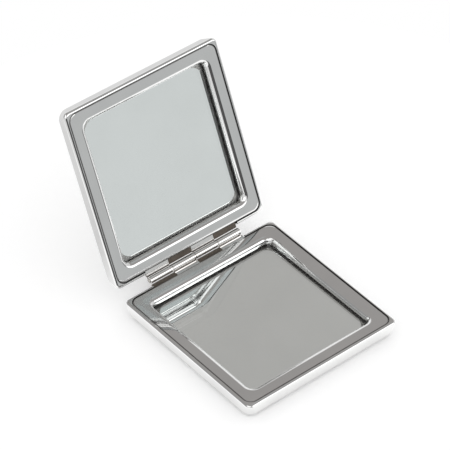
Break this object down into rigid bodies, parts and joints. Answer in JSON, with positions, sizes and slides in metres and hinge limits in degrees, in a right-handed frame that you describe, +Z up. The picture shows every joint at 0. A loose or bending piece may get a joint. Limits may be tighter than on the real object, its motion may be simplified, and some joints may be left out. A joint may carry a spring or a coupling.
{
  "type": "pocket mirror",
  "caption": "Square folding pocket mirror of polished sheet metal, with a mirror in the base and in the lid, standing open on a rolled-knuckle hinge.",
  "frame": {"origin": "centre of the base's flat underside, on the surface it stands on", "axes": "+Z up out of the base's mirror, +X along the hinge, +Y from the base's front edge to the hinge"},
  "size_m": [0.0624, 0.0969, 0.0656],
  "materials": {
    "cover_chrome": "mirror polished",
    "frame_chrome": "mirror polished",
    "mirror_glass": "flat glass, silvered on its back",
    "bonding_tape": "white foam tape",
    "hinge_nickel": "bright plated, slightly worn",
    "pin_steel": "drawn wire"
  },
  "bodies": {
    "base": {"base_cover": "cover_chrome", "base_frame": "frame_chrome", "base_mirror_glass": "mirror_glass", "base_mirror_tape": "bonding_tape", "base_hinge_leaf": "hinge_nickel", "hinge_pin": "pin_steel"},
    "lid": {"lid_cover": "cover_chrome", "lid_frame": "frame_chrome", "lid_mirror_glass": "mirror_glass", "lid_mirror_tape": "bonding_tape", "lid_hinge_leaf": "hinge_nickel"}
  },
  "joints": [
    {"name": "lid_hinge", "type": "hinge", "parent": "base", "child": "lid", "pos_m": [0, 0.0338, 0.00605], "axis": [-1, 0, 0], "range_deg": [-114, 66]}
  ]
}
